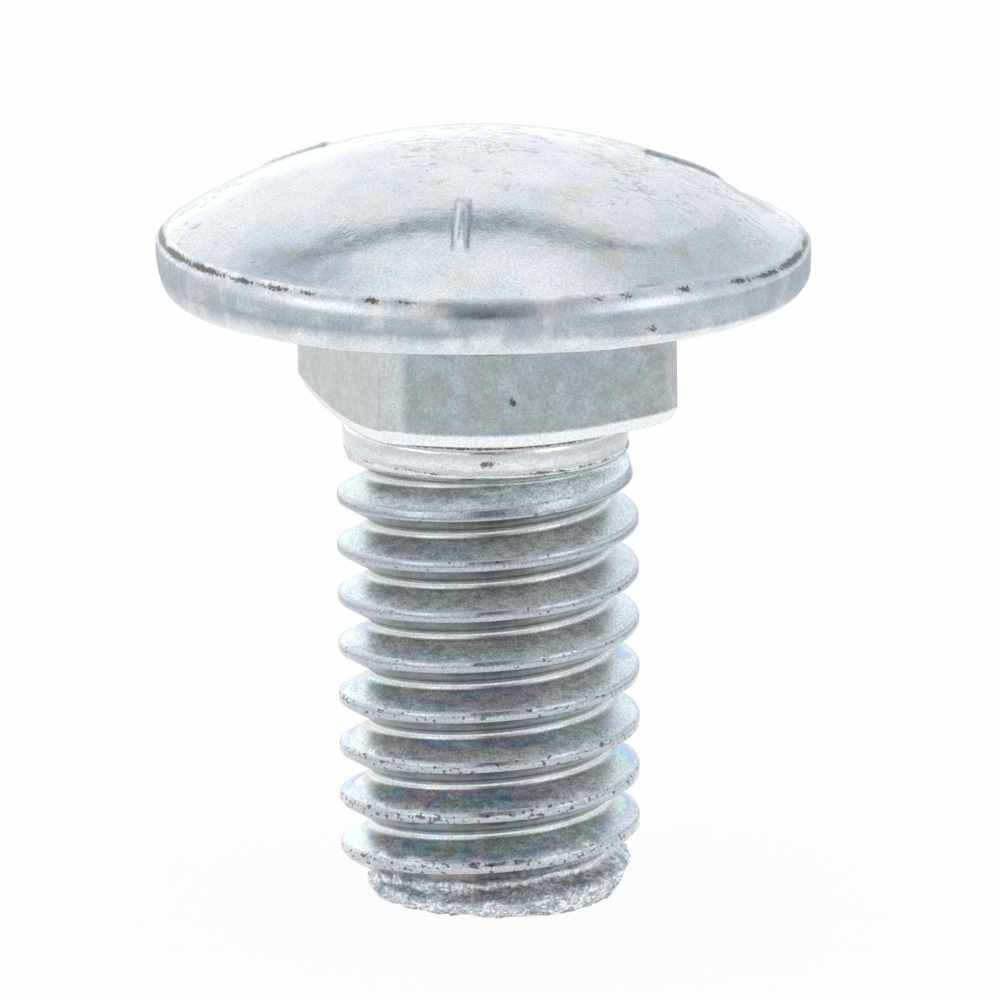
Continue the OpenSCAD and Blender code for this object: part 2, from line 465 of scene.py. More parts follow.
def make_rim(skin, last):
    """Rows down the rim and in under the head."""
    angle = column_angles(HEAD_COLUMNS)
    trim = crown_trim(RIM_INNER_R, angle)
    wear = edge_wear(angle)
    for radius, height in rim_rows(angle):
        chip = CHIP_DEPTH * wear * lobe(height, RIM_H, 0.16)
        out = radius - chip + mark(angle, height, RIM_BULGE)
        points = polar(np.minimum(out, HEAD_R), angle, height)
        squeeze(points, 0.03 * fractal(points, 0.5, seed=17, octaves=2) * lobe(height, 0.5, 0.5), HEAD_R)
        points[:, 2] += trim * soft(height - 0.7)
        row = skin.add(points, **rim_masks(angle, height, wear))
        skin.band(last, row)
        last = row
    for radius, count in UNDERSIDE_RINGS:
        row = skin.add(polar(np.full(count, radius), column_angles(count), 0.0))
        skin.band(last, row)
        last = row
    return last


# Neck

def neck_side(angle):
    """Distance from the axis to the neck's side, and how much of the side is a trimmed corner."""
    fold = np.radians((angle - NECK_TURN + 45.0) % 90.0 - 45.0)
    flat = NECK_W / 2 / np.cos(fold)
    share = np.clip(0.5 + 0.5 * (NECK_CORNER_R - flat) / NECK_CORNER_BLEND, 0.0, 1.0)
    side = NECK_CORNER_R + (flat - NECK_CORNER_R) * share - NECK_CORNER_BLEND * share * (1.0 - share)
    return side, 1.0 - share


def neck_rows(side):
    """Height and radius of each row down the side, the bevel and the lower face, and if it is on the side."""
    edge = NECK_END + EDGE_SLOPE * (side - NECK_W / 2)
    top = edge + BEVEL_H
    low_r = side - BEVEL_W
    foot_r = NECK_W / 2 - BEVEL_W
    for share in np.append(np.linspace(0, 0.975, 14)[1:], 1.0):
        yield -NECK_FILLET + (top + NECK_FILLET) * share, side, 1.0
    for share in (0.1, 0.25, 0.5, 0.75, 0.9, 1.0):
        yield top - BEVEL_H * share, side - BEVEL_W * share, 0.0
    for share in (0.3, 0.7, 1.0):
        yield edge + (NECK_END - edge) * share, low_r + (foot_r - low_r) * share, 0.0


def side_spots(along, z, spots):
    """Sum of the soft spots on one side of the neck."""
    return sum(strength * lobe(along, x, half) * lobe(z, level, spread)
               for x, half, level, spread, strength in spots)


def neck_tints(angle, z):
    """Bluish and yellowish tints and a pit on the side that faces the camera."""
    turn = np.radians(turn_from(angle, NECK_TURN + 270))
    along = NECK_W / 2 * np.tan(np.clip(turn, -1.0, 1.0))
    on_front = soft((44.0 - np.degrees(np.abs(turn))) / 2.0)
    rough = 0.75 + 0.5 * fractal(polar(np.full(len(angle), 5.0), angle, z), 1.2, seed=61, octaves=2)
    blue = on_front * side_spots(along, z, NECK_BLUES) * rough
    gold = on_front * side_spots(along, z, NECK_GOLDS) * rough
    return blue, gold, on_front * side_spots(along, z, NECK_PITS)


def make_neck(skin, last):
    """Rows down the fillet under the head, the neck's side and its bevelled foot."""
    angle = column_angles(SHANK_COLUMNS)
    side, corner = neck_side(angle)
    for share in np.linspace(0, 1, 6):
        turn = math.radians(90 * share)
        out = NECK_FILLET * (1 - math.sin(turn))
        down = NECK_FILLET * (1 - math.cos(turn))
        points = polar(side + out, angle, -down)
        points[:, 0] += SHANK_SHIFT
        row = skin.add(points, neck=share)
        skin.band(last, row)
        last = row
    # Painted highlight on the neck's trimmed corners, strongest on the front left one, and a painted
    # highlight line along their edges; the bevel and lower face below are paler
    arris = 4.0 * corner * (1.0 - corner)
    corner_highlight = np.maximum(corner * (0.5 + 0.45 * facing(angle, 243, 20)), 0.8 * arris)
    left_gold = 0.25 * facing(angle, 198, 38)
    for z, radius, on_side in neck_rows(side):
        points = polar(radius, angle, z)
        squeeze(points, 0.016 * fractal(points, 0.7, seed=41), 5.0)
        points[:, 0] += SHANK_SHIFT
        blue, gold, pit = neck_tints(angle, z)
        row = skin.add(points, neck=on_side, pale=np.maximum(corner_highlight * on_side, 0.7 * (1.0 - on_side)),
                       blue=blue * on_side, gold=np.maximum(gold, left_gold) * on_side, edge=pit)
        skin.band(last, row)
        last = row
    return last


# Shoulder, thread and end

def ragged(points):
    """Rough line of the shoulder's lower edge, which the shoulder and the thread share."""
    return 0.05 * fractal(points, 1.7, seed=83)


def make_shoulder(skin, last):
    """Rows down the pale shoulder, with a dark line at its ragged edge, and one at its top that is painted
    shade under the neck.
    """
    angle = column_angles(SHANK_COLUMNS)
    for radius, z in SHOULDER_SECTION:
        points = polar(np.full(len(angle), radius), angle, z)
        squeeze(points, 0.02 * fractal(points, 1.1, seed=47), 4.4)
        points[:, 2] += ragged(points) * soft((-4.6 - z) / 0.3)
        points[:, 0] += SHOULDER_SHIFT
        rough = fractal(points, 1.4, seed=87)
        # Painted shade under the neck at the top, and a dark line along the ragged edge
        dark = 0.75 * lobe(z, -4.10, 0.045) + lobe(z, -4.97, 0.06) * (0.55 + 0.5 * rough)
        dark = np.maximum(dark, mark(angle, z, SHOULDER_PATCH))
        row = skin.add(points, pale=0.85, edge=np.clip(dark, 0, 1))
        skin.band(last, row)
        last = row
    return last


def thread_profile():
    """Drop and radius of each row in one pitch, downward from the middle of a crest."""
    half = CREST_W / 2
    slope = math.radians(FLANK)
    sharp_depth = (PITCH - CREST_W) / 2 / math.tan(slope)
    root_axis_r = THREAD_R - sharp_depth + ROOT_R / math.sin(slope)
    sweep = math.pi / 2 - slope
    root = [(PITCH / 2 + ROOT_R * math.sin(a), root_axis_r - ROOT_R * math.cos(a))
            for a in np.linspace(-sweep, sweep, 5)]
    high = (half + CREST_ROUND, THREAD_R - CREST_ROUND * 1.2)
    low = root[0]
    flank = [(high[0] + (low[0] - high[0]) * s, high[1] + (low[1] - high[1]) * s)
             for s in (0.0, 0.1, 0.37, 0.64, 0.9)]
    down = [(half - CREST_ROUND, THREAD_R)] + flank
    up = [(PITCH - drop, r) for drop, r in reversed(down)]
    return [(0.0, THREAD_R)] + down + root + up


PROFILE = np.array(thread_profile())
ROWS_PER_TURN = len(PROFILE)
TURNS_ABOVE = 2


def thread_grid():
    """Angle, height, profile row and use of each point on the helical rows, and each column's first and
    last used row."""
    angle = column_angles(SHANK_COLUMNS)[:, None]
    first_crest = SHOULDER_END + PITCH * (TURNS_ABOVE - THREAD_TURN / 360.0)
    row = np.arange(ROWS_PER_TURN * (int((first_crest - BOLT_END) / PITCH) + 3))
    in_turn = row % ROWS_PER_TURN
    z = first_crest + PITCH * angle / 360.0 - (PITCH * (row // ROWS_PER_TURN) + PROFILE[in_turn, 0])
    top_row = (z > SHOULDER_END - SNAP).sum(axis=1) - 1
    end_row = (z > BOLT_END + SNAP).sum(axis=1)
    z = np.clip(z, BOLT_END, SHOULDER_END)
    z[np.arange(SHANK_COLUMNS), top_row] = SHOULDER_END
    used = (row >= top_row[:, None]) & (row <= end_row[:, None])
    return np.broadcast_to(angle, z.shape), z, np.broadcast_to(in_turn, z.shape), used, top_row, end_row


def thread_radius(angle, z, profile_r):
    """Radius of the thread: it grows out of the shoulder, and the taper at the end trims it."""
    depth = SHOULDER_END - z
    grown = np.where(profile_r < SHOULDER_R, soft(depth / GROOVE_RUNOUT), soft(depth / CREST_RUNOUT) ** 2)
    radius = SHOULDER_R + (profile_r - SHOULDER_R) * grown
    end_r = POINT_R + 0.24 * facing(angle, 306, 32) - 0.24 * facing(angle, 190, 34)
    return np.minimum(radius, end_r + (z - BOLT_END) * (THREAD_R - end_r) / POINT_LEN)


def thread_masks(angle, z, radius, phase):
    """Masks of the thread. The phase goes from 0 at a crest's middle through the groove to 1 at the next."""
    depth = SHOULDER_END - z
    height = 1.0 - (THREAD_R - radius) / GROOVE_DEPTH
    on_thread = soft(depth / 0.5)
    near_end = soft((BOLT_END + CRUMPLE_H - z) / 0.6)
    crest_rows = np.minimum(phase, 1.0 - phase) * PITCH < 0.17
    crest = crest_rows * soft(depth / 0.3) * (1.0 - 0.5 * near_end)
    root = soft((0.06 - height) / 0.05) * on_thread
    flank = (1 - crest) * (1 - root) * on_thread
    lower = flank * (phase < 0.5)
    from_left = turn_from(angle, 256)
    return {
        "crest": crest,
        "ridge": crest * (phase == 0.0),
        "brink": crest * (phase > 0.0) * (phase < 0.5),
        "nick": crest * soft(depth / (SHOULDER_END - BOLT_END)),
        "root": root,
        "upper": flank * (phase > 0.5),
        "lower": lower,
        "rise": np.clip(height, 0, 1) * on_thread,
        "rust": lower * mark(angle, z, THREAD_RUST),
        "day": soft((from_left - 26) / 26) * soft((110 - from_left) / 30),
        "flare": soft((np.abs(turn_from(angle, 268)) - 46) / 20),
        "end": near_end,
        "foot": soft((BOLT_END + FOOT_H - z) / 0.2),
    }


def worn_thread(angle, z, radius, masks):
    """Points of the thread, with nicks that deepen down its crests, the crumpled end and the ragged top."""
    points = polar(radius, angle, z)
    near_end = masks["end"]
    nick_depth = 0.015 * masks["crest"] + 0.045 * masks["nick"]
    nicks = np.clip(fractal(points, 2.6, seed=53) - 0.15, 0, 1) * nick_depth
    crumple = 0.16 * np.abs(fractal(points, 1.3, seed=67, octaves=5)) + 0.01
    pull = np.stack([value_noise(points * 2.1, seed) for seed in (71, 72)], axis=1)
    inward = nicks + crumple * near_end
    points[:, :2] *= (1.0 - inward / np.maximum(radius, 1.0))[:, None]
    points[:, :2] += 0.03 * pull * near_end[:, None]
    inside = (z < SHOULDER_END - 0.01) & (z > BOLT_END + 0.01)
    points[:, 2] += np.where(inside, 0.07 * value_noise(points * 1.9, seed=73) * near_end, 0.0)
    at_end = points[:, 2] <= BOLT_END + 0.01
    lift = 0.11 * facing(angle, 240, 40) + 0.05 * facing(angle, 90, 60)
    lift += 0.05 * (0.5 + 0.5 * value_noise(points * 1.6, seed=81))
    points[:, 2] += np.where(at_end, lift, 0.0)
    at_top = points[:, 2] >= SHOULDER_END - 0.005
    points[:, 2] += np.where(at_top, ragged(points), 0.0)
    points[:, 0] += SHANK_SHIFT
    return points


def link_thread(skin, ids, top_row, end_row):
    """Faces between the thread's columns. The last column meets the first one, a turn further on."""
    count = len(ids)
    tops = np.append(top_row, top_row[0] + ROWS_PER_TURN)
    ends = np.append(end_row, end_row[0] + ROWS_PER_TURN)

    def point_id(i, row):
        if i == count:
            i, row = 0, row - ROWS_PER_TURN
        return int(ids[i, min(max(row, top_row[i]), end_row[i])])

    for i in range(count):
        for row in range(min(tops[i], tops[i + 1]), max(ends[i], ends[i + 1])):
            corners = [point_id(i, row), point_id(i, row + 1), point_id(i + 1, row + 1), point_id(i + 1, row)]
            ring = [c for k, c in enumerate(corners) if c != corners[k - 1]]
            if len(ring) > 2:
                skin.faces.append(ring)


def make_thread(skin):
    """The thread's skin, and the point numbers of its top and its end."""
    grid_angle, grid_z, in_turn, used, top_row, end_row = thread_grid()
    angle, z = grid_angle[used], grid_z[used]
    drop, profile_r = PROFILE[in_turn[used]].T
    radius = thread_radius(angle, z, profile_r)
    masks = thread_masks(angle, z, radius, drop / PITCH)
    ids = np.full(used.shape, -1)
    ids[used] = skin.add(worn_thread(angle, z, radius, masks), **masks)
    link_thread(skin, ids, top_row, end_row)
    columns = np.arange(SHANK_COLUMNS)
    return ids[columns, top_row], ids[columns, end_row]


def make_end(skin, last):
    """Rings over the rough sheared end, in to its centre."""
    for radius, count in END_RINGS:
        points = polar(np.full(count, radius), column_angles(count), BOLT_END)
        points[:, 2] += 0.02 + 0.22 * np.abs(fractal(points, 0.9, seed=91, octaves=4))
        points[:, 0] += SHANK_SHIFT
        row = skin.add(points, end=1.0, foot=1.0)
        skin.band(last, row)
        last = row
    centre = skin.add(np.array([[SHANK_SHIFT, 0.0, BOLT_END + 0.1]]), end=1.0, foot=1.0)
    skin.fan(centre, last[::-1])


def make_bolt():
    skin = Skin()
    last = make_crown(skin)
    last = make_rim(skin, last)
    last = make_neck(skin, last)
    last = make_shoulder(skin, last)
    top, end = make_thread(skin)
    skin.band(last, top)
    make_end(skin, end)
    return skin.build("bolt_finish")


# Material

class Nodes:
    """Short calls for building a node tree."""

    def __init__(self, owner):
        owner.use_nodes = True
        self.tree = owner.node_tree
        self.tree.nodes.clear()

    def add(self, kind, **settings):
        made = self.tree.nodes.new(kind)
        for name, value in settings.items():
            setattr(made, name, value)
        return made

    def put(self, socket, value):
        if isinstance(value, bpy.types.NodeSocket):
            self.tree.links.new(value, socket)
        elif isinstance(value, tuple) and len(value) == 3 and socket.type == "RGBA":
            socket.default_value = (*value, 1.0)
        else:
            socket.default_value = value

    def math(self, operation, a, b=0.0, clamp=False):
        made = self.add("ShaderNodeMath", operation=operation, use_clamp=clamp)
        self.put(made.inputs[0], a)
        self.put(made.inputs[1], b)
        return made.outputs[0]

    def mul(self, first, *rest):
        for factor in rest:
            first = self.math("MULTIPLY", first, factor)
        return first

    def plus(self, a, b):
        return self.math("ADD", a, b)

    def less(self, a, b):
        return self.math("SUBTRACT", a, b)

    def most(self, a, b):
        return self.math("MAXIMUM", a, b)

    def split(self, vector):
        made = self.add("ShaderNodeSeparateXYZ")
        self.put(made.inputs[0], vector)
        return made.outputs

    def step(self, value, low, high, out_low=0.0, out_high=1.0):
        """A soft ramp from one output to another as the value goes from low to high."""
        made = self.add("ShaderNodeMapRange", interpolation_type="SMOOTHSTEP")
        self.put(made.inputs["Value"], value)
        self.put(made.inputs["From Min"], low)
        self.put(made.inputs["From Max"], high)
        self.put(made.inputs["To Min"], out_low)
        self.put(made.inputs["To Max"], out_high)
        return made.outputs["Result"]

    def mix(self, factor, a, b, blend="MIX"):
        made = self.add("ShaderNodeMix", data_type="RGBA", blend_type=blend)
        self.put(made.inputs["Factor"], factor)
        self.put(made.inputs["A"], a)
        self.put(made.inputs["B"], b)
        return made.outputs["Result"]

    def mask(self, name):
        return self.add("ShaderNodeAttribute", attribute_type="GEOMETRY", attribute_name=name).outputs["Fac"]

    def place(self, vector, offset, scale=(1.0, 1.0, 1.0)):
        made = self.add("ShaderNodeMapping")
        self.put(made.inputs["Vector"], vector)
        made.inputs["Location"].default_value = offset
        made.inputs["Scale"].default_value = scale
        return made.outputs["Vector"]

    def noise(self, vector, scale, detail=3.0, rough=0.55, twist=0.0):
        made = self.add("ShaderNodeTexNoise")
        self.put(made.inputs["Vector"], vector)
        made.inputs["Scale"].default_value = scale
        made.inputs["Detail"].default_value = detail
        made.inputs["Roughness"].default_value = rough
        made.inputs["Distortion"].default_value = twist
        return made.outputs["Fac"]

    def ramp(self, factor, stops):
        made = self.add("ShaderNodeValToRGB")
        self.put(made.inputs["Fac"], factor)
        points = made.color_ramp.elements
        while len(points) < len(stops):
            points.new(1.0)
        for point, (place, colour) in zip(points, stops):
            point.position = place
            point.color = (*colour, 1.0)
        return made.outputs["Color"]

    def choose(self, factor, a, b):
        """Shader a where the factor is 0 and shader b where it is 1."""
        made = self.add("ShaderNodeMixShader")
        self.put(made.inputs[0], factor)
        self.put(made.inputs[1], a.outputs[0])
        self.put(made.inputs[2], b.outputs[0])
        return made

    def finish(self, kind, shader):
        self.put(self.add(kind).inputs["Surface"], shader.outputs[0])


ZINC = (0.665, 0.695, 0.715)
ZINC_COOL = (0.575, 0.62, 0.665)
ZINC_WARM = (0.69, 0.68, 0.62)
ZINC_PALE = (0.83, 0.845, 0.85)
SPECK_GREY = (0.19, 0.20, 0.22)
STAIN = (0.54, 0.51, 0.36)
# Dark colour of worn edges and pits, and of the painted shade line under the neck
TARNISH_AND_SHADE = (0.09, 0.075, 0.07)
# The neck's warm grey: the plating's warm tint, made darker as painted shade under the head
NECK_GREY = (0.52, 0.52, 0.495)
NECK_PALE = (0.63, 0.67, 0.70)
TINT_BLUE = (0.40, 0.48, 0.58)
TINT_GOLD = (0.56, 0.57, 0.44)
# Colour of the painted dark reflection on the rim
DARK_REFLECTION_GREY = (0.10, 0.12, 0.15)
# Colour of the painted shade on the crown's edge and the rim
SHADE_GREY = (0.40, 0.455, 0.51)
BAR_GREY = (0.24, 0.25, 0.31)
RIM_GREY = (0.55, 0.605, 0.66)
# Upper flank colours at the root, darker as painted shade, and at the crest
FLANK_GREEN = (0.66, 0.70, 0.67)
FLANK_BLUE = (0.88, 0.97, 1.0)
# Painted shade on the lower flanks, deep in the groove and nearer the crest
GROOVE_DEEP_SHADE = (0.19, 0.185, 0.175)
GROOVE_SHADE = (0.46, 0.45, 0.44)
RUST = (0.72, 0.42, 0.26)
ROOT_PALE = (0.70, 0.695, 0.68)
CREST_PALE = (0.54, 0.58, 0.61)
NICK_GREY = (0.13, 0.125, 0.12)
END_PALE = (0.82, 0.85, 0.88)
END_GREY = (0.43, 0.50, 0.56)

# Thin film tints along the flanks, from one end of the noise to the other
FILM = (
    (0.36, (0.68, 0.74, 0.66)), (0.43, (0.68, 0.48, 0.76)), (0.49, (0.38, 0.53, 0.88)),
    (0.55, (0.42, 0.78, 0.80)), (0.62, (0.68, 0.80, 0.68)),
)

# Roughness of the plain plating, what the crown has less and what the rim, the end and the flanks have more
ROUGHNESS = 0.15
CROWN_POLISH = 0.03
ROUGHNESS_MORE = 0.14

BUMP_STRENGTH = 0.3
BUMP_DISTANCE_M = 0.00005


def textures(n):
    """Noises that several parts of the material share, and the bolt's own place in metres and millimetres."""
    place = n.add("ShaderNodeTexCoord").outputs["Object"]
    mm = n.place(place, (0.0, 0.0, 0.0), (1000.0, 1000.0, 1000.0))
    return SimpleNamespace(
        mm=mm,
        warm=n.noise(n.place(mm, (7.0, 3.0, 1.0)), 0.8, 2.0),
        mottle=n.noise(mm, 1.7, 4.0, 0.6),
        grain=n.noise(mm, 9.0, 3.0, 0.65),
        fine=n.noise(mm, 15.0, 2.0, 0.7),
        down=n.step(n.split(place)["Z"], -0.006, -0.015, 0.35, 1.0),
    )


def plating_and_painted_shade(n, on, tex):
    """Light zinc with cool and warm clouds and blotches on the rim, and painted shade on the crown's
    edge and the rim.
    """
    clouds = n.noise(tex.mm, 0.5, 3.0)
    colour = n.mix(n.step(clouds, 0.4, 0.66, 0.0, 0.8), ZINC, ZINC_COOL)
    colour = n.mix(n.step(tex.warm, 0.56, 0.7, 0.0, 0.5), colour, ZINC_WARM)
    blotch = n.noise(n.place(tex.mm, (4.0, 2.0, 8.0), (1.0, 1.0, 0.8)), 0.9, 4.0, 0.6)
    colour = n.mix(n.mul(on.rim, n.step(blotch, 0.5, 0.62, 0.0, 0.85)), colour, RIM_GREY)
    colour = n.mix(n.mul(on.rim, n.step(blotch, 0.5, 0.38, 0.0, 0.9)), colour, ZINC_PALE)
    # Painted shade on the crown's edge and the rim
    return n.mix(n.mul(on.dull, n.step(tex.mottle, 0.3, 0.6, 0.65, 1.0)), colour, SHADE_GREY)


def crown_scratches(n, on, tex):
    """Long scratches and short flecks, denser where the speck mask is high."""
    patchy = n.plus(on.speck, n.step(n.noise(tex.mm, 0.8, 2.0), 0.3, 0.7, -0.25, 0.25))
    scratch = n.noise(n.place(tex.mm, (1.0, 5.0, 2.0), (1.0, 1.5, 1.5)), 1.9, 7.0, 0.8, 0.7)
    fleck = n.noise(n.place(tex.mm, (3.0, 8.0, 5.0), (1.0, 0.6, 1.0)), 4.2, 3.0, 0.7)
    scratches = n.step(n.less(scratch, n.step(patchy, 0.0, 1.0, 0.66, 0.47)), 0.0, 0.12)
    flecks = n.step(n.less(fleck, n.step(patchy, 0.0, 1.0, 0.70, 0.56)), 0.0, 0.12)
    return n.most(n.mul(scratches, 0.8), flecks)


def crown_colour(n, on, tex, colour, scratches):
    """Stains, and dark grey scratches over them."""
    colour = n.mix(n.mul(on.stain, n.step(tex.mottle, 0.35, 0.6, 0.2, 0.75)), colour, STAIN)
    return n.mix(n.mul(scratches, on.crown, 0.62), colour, SPECK_GREY)


def neck_colour(n, on, tex, colour):
    """Warm grey, darker as painted shade under the head, mottled with soft pale bluish spots, and the pale
    mask's painted highlights and paler places.
    """
    tone = n.mix(n.step(tex.mottle, 0.36, 0.68), NECK_GREY, NECK_PALE)
    tone = n.mix(n.step(n.noise(tex.mm, 2.4, 3.0, 0.6), 0.52, 0.72, 0.0, 0.6), tone, ZINC)
    tone = n.mix(n.step(tex.grain, 0.62, 0.3, 0.0, 0.35), tone, TINT_BLUE)
    colour = n.mix(on.neck, colour, tone)
    colour = n.mix(on.blue, colour, TINT_BLUE)
    colour = n.mix(on.gold, colour, TINT_GOLD)
    # Pale mask: painted highlights on the rim, the neck's corners and the back grade lines, and a paler
    # shoulder, bevel and lower face
    return n.mix(n.mul(on.pale, n.step(tex.mottle, 0.3, 0.6, 0.75, 1.0)), colour, ZINC_PALE)


def flank_colour(n, on, tex):
    """Greenish and darker at the root, where shade is painted, and bluish at the crest, with film tints that
    grow stronger down the thread.
    """
    flat = n.place(tex.mm, (3.0, 1.0, 4.0), (0.4, 0.4, 2.4))
    film = n.noise(flat, 1.0, 4.0, 0.6, 0.5)
    patches = n.step(n.noise(n.place(flat, (9.0, 2.0, 6.0)), 0.8, 3.0), 0.43, 0.57)
    spared = n.mul(n.step(on.day, 0.0, 1.0, 1.0, 0.35), n.step(on.rise, 0.6, 1.0, 1.0, 0.55))
    # Greenish tint, darker towards the root as painted shade
    tone = n.mix(n.step(on.rise, 0.1, 0.55), FLANK_GREEN, FLANK_BLUE)
    tone = n.mix(n.mul(n.mul(patches, tex.down), spared), tone, n.ramp(film, FILM))
    tone = n.mix(n.step(tex.mottle, 0.4, 0.7, 0.0, 0.35), tone, FLANK_BLUE)
    tone = n.mix(n.mul(on.day, 0.1), tone, ZINC_PALE)
    worn = n.noise(n.place(tex.mm, (6.0, 4.0, 2.0), (1.0, 1.0, 2.5)), 2.6, 5.0, 0.72, 0.4)
    worn_share = n.step(on.flare, 0.0, 1.0, 1.0, 0.2)
    tone = n.mix(worn_share, tone, n.step(worn, 0.36, 0.62, 0.66, 1.10), "MULTIPLY")
    return n.mix(1.0, tone, n.step(tex.fine, 0.3, 0.7, 0.80, 1.14), "MULTIPLY")


def thread_colour(n, on, tex, colour):
    """Tinted upper flanks, lower flanks darkened as painted shade with a little rust, pale roots, and grey
    crests with painted shade on their lower edge.
    """
    colour = n.mix(on.upper, colour, flank_colour(n, on, tex))
    # Painted shade on the lower flanks, darkest deep in the groove and lighter on the side more light reaches
    groove = n.mix(n.step(on.rise, 0.55, 0.95), GROOVE_DEEP_SHADE, GROOVE_SHADE)
    groove = n.mix(n.mul(on.day, 0.2), groove, ZINC)
    groove = n.mix(n.most(on.rust, n.step(tex.warm, 0.5, 0.7, 0.0, 0.08)), groove, RUST)
    colour = n.mix(on.lower, colour, groove)
    colour = n.mix(n.mul(on.root, n.step(tex.mottle, 0.35, 0.62, 0.95, 0.6)), colour, ROOT_PALE)
    colour = n.mix(on.crest, colour, CREST_PALE)
    colour = n.mix(n.mul(on.ridge, n.step(tex.grain, 0.42, 0.62, 0.0, 0.55)), colour, BAR_GREY)
    # Painted shade on the crest's lower edge
    return n.mix(n.mul(on.brink, 0.35), colour, BAR_GREY)


def end_colour(n, on, tex, colour):
    """The crushed end: pale shreds on grey, with dark lines between them."""
    crushed = n.noise(tex.mm, 2.2, 5.0, 0.7, 1.2)
    lines = n.step(n.math("ABSOLUTE", n.less(crushed, 0.5)), 0.045, 0.012)
    shreds = n.noise(n.place(tex.mm, (5.0, 5.0, 5.0), (0.7, 0.7, 2.0)), 2.3, 5.0, 0.7, 1.0)
    shreds = n.step(n.less(shreds, n.mul(on.foot, 0.015)), 0.455, 0.525)
    tone = n.mix(shreds, END_GREY, END_PALE)
    tone = n.mix(n.mul(lines, 0.7), tone, NICK_GREY)
    return n.mix(n.mul(on.end, 0.88), colour, tone)


def wear_and_painted_light(n, on, tex, colour):
    """Nicks on the crests, the dark lines of worn edges, pits and painted shade, the rim's painted dark
    reflection, the grade lines' shaded edges and a fine grain.
    """
    pits = n.noise(n.place(tex.mm, (2.0, 9.0, 4.0), (1.0, 1.0, 1.3)), 5.0, 1.5, 0.5)
    nicks = n.step(n.less(pits, n.step(on.nick, 0.0, 1.0, 0.675, 0.59)), 0.0, 0.04)
    colour = n.mix(n.mul(nicks, n.mul(on.crest, 0.85)), colour, NICK_GREY)
    # Dark lines of the edge mask: wear on the rim's edge, pits, and painted shade under the neck
    worn = n.plus(on.edge, n.step(tex.grain, 0.25, 0.75, -0.32, 0.32))
    colour = n.mix(n.mul(n.step(worn, 0.2, 0.65), 0.88), colour, TARNISH_AND_SHADE)
    # Painted dark reflection down the rim's front, and the faint painted dark line along its top edge
    colour = n.mix(n.mul(on.streak, n.step(tex.mottle, 0.3, 0.6, 0.3, 0.85)), colour, DARK_REFLECTION_GREY)
    colour = n.mix(n.mul(on.bar, n.step(tex.grain, 0.35, 0.6, 0.4, 0.9)), colour, BAR_GREY)
    speckle = n.mul(n.step(tex.fine, 0.3, 0.7, 0.84, 1.10), n.step(tex.grain, 0.3, 0.7, 0.95, 1.05))
    return n.mix(1.0, colour, speckle, "MULTIPLY")


def bumps(n, on, tex, scratches):
    """The plating's fine relief, with scratches in the crown and creases in the end."""
    relief = n.plus(n.mul(tex.grain, 0.12), n.mul(tex.mottle, 0.5))
    relief = n.plus(relief, n.mul(tex.fine, 0.03))
    relief = n.less(relief, n.mul(scratches, n.mul(on.crown, 0.2)))
    relief = n.plus(relief, n.mul(n.noise(tex.mm, 3.4, 5.0, 0.7, 0.5), n.mul(on.end, 3.0)))
    bump = n.add("ShaderNodeBump")
    n.put(bump.inputs["Strength"], BUMP_STRENGTH)
    n.put(bump.inputs["Distance"], BUMP_DISTANCE_M)
    n.put(bump.inputs["Height"], relief)
    return bump.outputs["Normal"]


def haze(n, on, tex):
    """A thin pale film over the upper flanks, less of it on the lit side and down the thread."""
    film = n.mul(on.upper, n.step(on.rise, 0.1, 0.9, 0.08, 0.38))
    return n.mul(film, n.mul(n.step(tex.down, 0.6, 1.0, 1.0, 0.6), n.step(on.day, 0.0, 1.0, 1.0, 0.5)))


def roughness(n, on, tex):
    plain = n.plus(n.step(tex.mottle, 0.3, 0.7, 0.0, 0.08), ROUGHNESS)
    rougher = n.most(on.rim, n.most(on.end, on.upper))
    return n.less(n.plus(plain, n.mul(rougher, ROUGHNESS_MORE)), n.mul(on.crown, CROWN_POLISH))


def zinc_material():
    material = bpy.data.materials.new("zinc_plate")
    n = Nodes(material)
    on = SimpleNamespace(**{name: n.mask(name) for name in MASKS})
    tex = textures(n)
    scratches = crown_scratches(n, on, tex)
    colour = plating_and_painted_shade(n, on, tex)
    colour = crown_colour(n, on, tex, colour, scratches)
    colour = neck_colour(n, on, tex, colour)
    colour = thread_colour(n, on, tex, colour)
    colour = end_colour(n, on, tex, colour)
    shader = n.add("ShaderNodeBsdfPrincipled")
    n.put(shader.inputs["Base Color"], wear_and_painted_light(n, on, tex, colour))
    n.put(shader.inputs["Metallic"], n.less(1.0, haze(n, on, tex)))
    n.put(shader.inputs["Roughness"], roughness(n, on, tex))
    n.put(shader.inputs["Normal"], bumps(n, on, tex, scratches))
    n.finish("ShaderNodeOutputMaterial", shader)
    return material


# Studio

FLOOR_REACH_M = 0.6
FLOOR_GREY = (0.9, 0.9, 0.9)
# Share of the floor that is plain white to the camera. The rest takes the shadow.
FLOOR_WHITE = 0.93

# The floor as the plating mirrors it: next to the bolt, in front, and behind it on the left and on the right
MIRRORED_NEAR = (1.2, 1.2, 1.2)
MIRRORED_FRONT = (0.72, 0.76, 0.795)
MIRRORED_LEFT = (0.93, 0.94, 0.95)
MIRRORED_RIGHT = (0.70, 0.73, 0.77)

# Brightness of the studio from the horizon behind the bolt, over the top and down to the horizon in front
STUDIO_ARC = (
    (0, 1.34), (10, 1.32), (18, 1.22), (40, 1.2), (52, 1.14), (60, 1.14), (75, 1.22),
    (88, 1.1), (98, 0.7), (125, 0.5), (180, 0.6),
)

